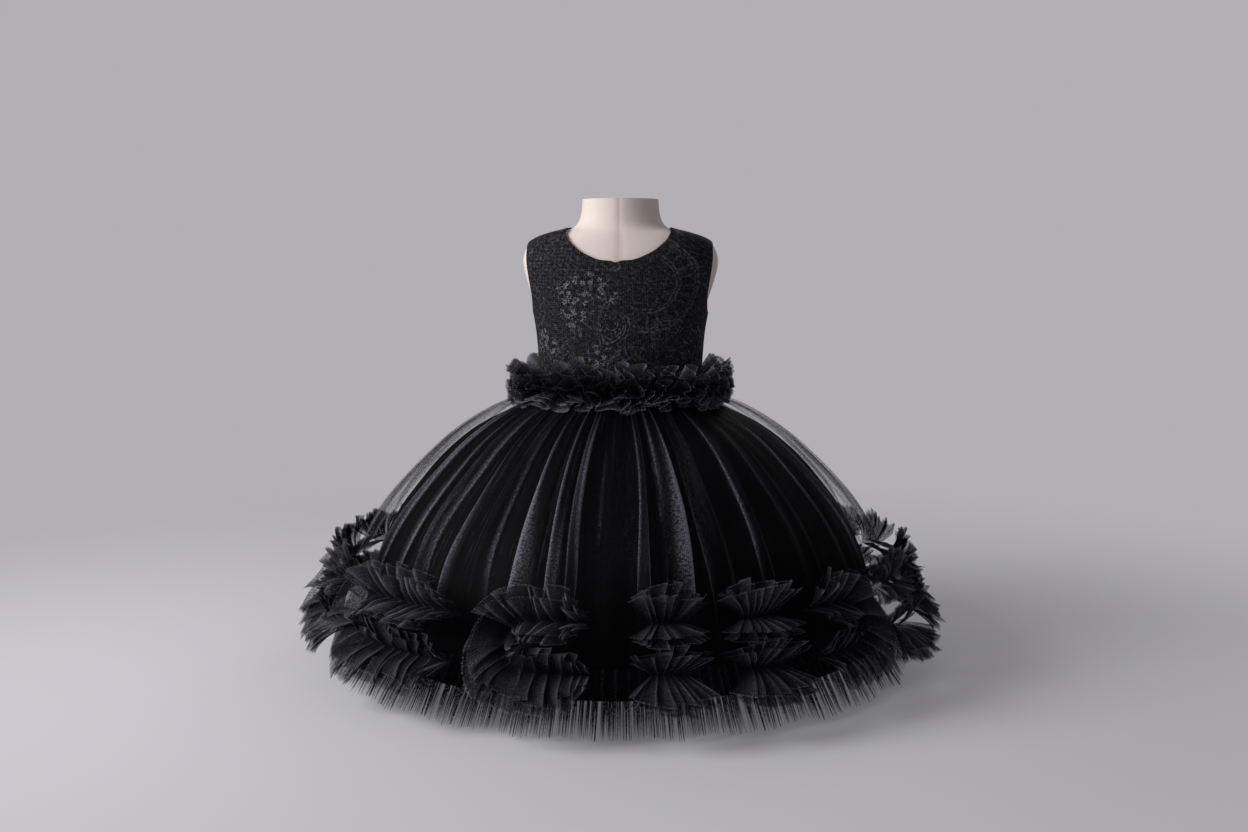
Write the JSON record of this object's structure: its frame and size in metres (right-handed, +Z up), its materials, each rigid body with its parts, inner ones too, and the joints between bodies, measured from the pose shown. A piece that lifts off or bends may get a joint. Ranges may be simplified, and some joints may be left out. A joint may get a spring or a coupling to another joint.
{
  "type": "party dress on a dress form",
  "caption": "Child's sleeveless lace and tulle party dress with a ruffled skirt, worn by a limbless table-top dress form on a round base.",
  "frame": {"origin": "centre of the base plate's flat underside", "axes": "+Z up, the front of the dress towards -Y, +X to the right of someone who faces the front"},
  "size_m": [0.8389, 0.8383, 0.59],
  "materials": {
    "lace": "black corded lace on a fine net, backed by black cloth",
    "lining": "smooth opaque black lining",
    "tulle": "fine see-through black tulle",
    "linen": "cream stretch cover",
    "steel": "satin grey enamel",
    "zip_tape": "black woven tape",
    "zip_metal": "black enamelled metal"
  },
  "bodies": {
    "dress": {"base_plate": "steel", "pole": "steel", "form_torso": "linen", "bodice_front": "lace", "bodice_back_left": "lace", "bodice_back_right": "lace", "skirt_lining_front": "lining", "skirt_lining_back": "lining", "skirt_overlay_front": "tulle", "skirt_overlay_back": "tulle", "hem_flounce": "tulle", "waist_ruffle": "tulle", "hem_ruffle_01": "tulle", "hem_ruffle_02_upper": "tulle", "hem_ruffle_02_lower": "tulle", "hem_ruffle_03_upper": "tulle", "hem_ruffle_03_lower": "tulle", "hem_ruffle_04": "tulle", "hem_ruffle_05_upper": "tulle", "hem_ruffle_05_lower": "tulle", "hem_ruffle_06": "tulle", "hem_ruffle_07_upper": "tulle", "hem_ruffle_07_lower": "tulle", "hem_ruffle_08": "tulle", "hem_ruffle_09_upper": "tulle", "hem_ruffle_09_lower": "tulle", "hem_ruffle_10": "tulle", "hem_ruffle_11_upper": "tulle", "hem_ruffle_11_lower": "tulle", "hem_ruffle_12": "tulle", "hem_ruffle_13_upper": "tulle", "hem_ruffle_13_lower": "tulle", "hem_ruffle_14": "tulle", "hem_ruffle_15_upper": "tulle", "hem_ruffle_15_lower": "tulle", "hem_ruffle_16_upper": "tulle", "hem_ruffle_16_lower": "tulle", "hem_ruffle_17": "tulle", "hem_ruffle_18": "tulle", "zip_tape": "zip_tape", "zip_slider": "zip_metal"},
    "zip_pull": {"zip_pull": "zip_metal"}
  },
  "joints": [
    {"name": "zip_pull_hinge", "type": "hinge", "parent": "dress", "child": "zip_pull", "pos_m": [0, 0.07108, 0.52594], "axis": [1, 0, 0], "range_deg": [0, 150]}
  ]
}
